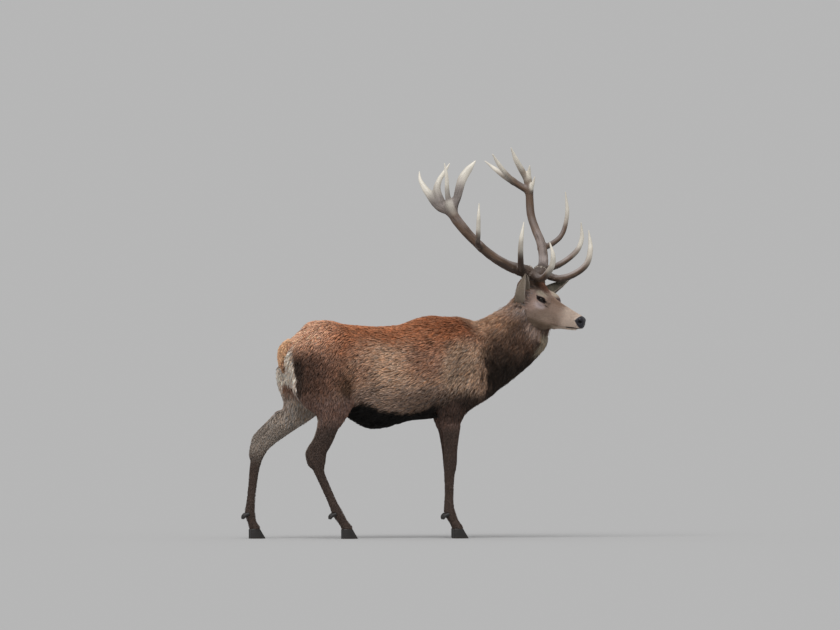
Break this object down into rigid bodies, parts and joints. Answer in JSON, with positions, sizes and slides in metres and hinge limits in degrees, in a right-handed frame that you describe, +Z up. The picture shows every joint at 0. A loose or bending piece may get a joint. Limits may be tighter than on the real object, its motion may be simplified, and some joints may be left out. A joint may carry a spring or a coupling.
{
  "type": "red deer stag",
  "caption": "Life-size standing red deer stag in mid stride, head turned to its right, with full antlers, a dark mane and a pale rump.",
  "frame": {"origin": "on the floor under the middle of the overall box", "axes": "+X from the tail towards the chest, +Y to the stag's left, +Z up"},
  "size_m": [1.9472, 0.9818, 2.172],
  "materials": {
    "coat": "short flat fur, matt",
    "mane": "long shaggy fur, matt",
    "face": "very short fur, matt, with a bare wet nose",
    "leg": "short close fur, matt",
    "tail": "short fur, matt",
    "ear": "short fur outside, paler hair inside",
    "antler_beam": "rough bone, stained brown, beaded at the base",
    "antler_tine": "smooth bone, polished pale at the tips",
    "horn": "smooth horn, semi-matt",
    "eye": "wet and glossy"
  },
  "bodies": {
    "root": {"antler_left_beam_lower": "antler_beam", "antler_left_beam_upper": "antler_beam", "antler_left_bez": "antler_tine", "antler_left_brow": "antler_tine", "antler_left_crown_front": "antler_tine", "antler_left_crown_inner": "antler_tine", "antler_left_crown_middle": "antler_tine", "antler_left_crown_rear": "antler_tine", "antler_left_crown_snag": "antler_tine", "antler_left_trez": "antler_tine", "antler_right_beam_lower": "antler_beam", "antler_right_beam_upper": "antler_beam", "antler_right_bez": "antler_tine", "antler_right_brow": "antler_tine", "antler_right_crown_blade": "antler_tine", "antler_right_crown_front": "antler_tine", "antler_right_crown_middle": "antler_tine", "antler_right_crown_rear": "antler_tine", "antler_right_trez": "antler_tine", "dewclaw_front_left_inner": "horn", "dewclaw_front_left_outer": "horn", "dewclaw_front_right_inner": "horn", "dewclaw_front_right_outer": "horn", "dewclaw_hind_left_inner": "horn", "dewclaw_hind_left_outer": "horn", "dewclaw_hind_right_inner": "horn", "dewclaw_hind_right_outer": "horn", "ear_left": "ear", "ear_right": "ear", "eye_left": "eye", "eye_right": "eye", "head": "face", "hoof_front_left_inner": "horn", "hoof_front_left_outer": "horn", "hoof_front_right_inner": "horn", "hoof_front_right_outer": "horn", "hoof_hind_left_inner": "horn", "hoof_hind_left_outer": "horn", "hoof_hind_right_inner": "horn", "hoof_hind_right_outer": "horn", "leg_front_left_cannon": "leg", "leg_front_left_pastern": "leg", "leg_front_left_upper": "leg", "leg_front_right_cannon": "leg", "leg_front_right_pastern": "leg", "leg_front_right_upper": "leg", "leg_hind_left_cannon": "leg", "leg_hind_left_pastern": "leg", "leg_hind_left_upper": "leg", "leg_hind_right_cannon": "leg", "leg_hind_right_pastern": "leg", "leg_hind_right_upper": "leg", "neck": "mane", "tail": "tail", "trunk": "coat"}
  },
  "joints": []
}
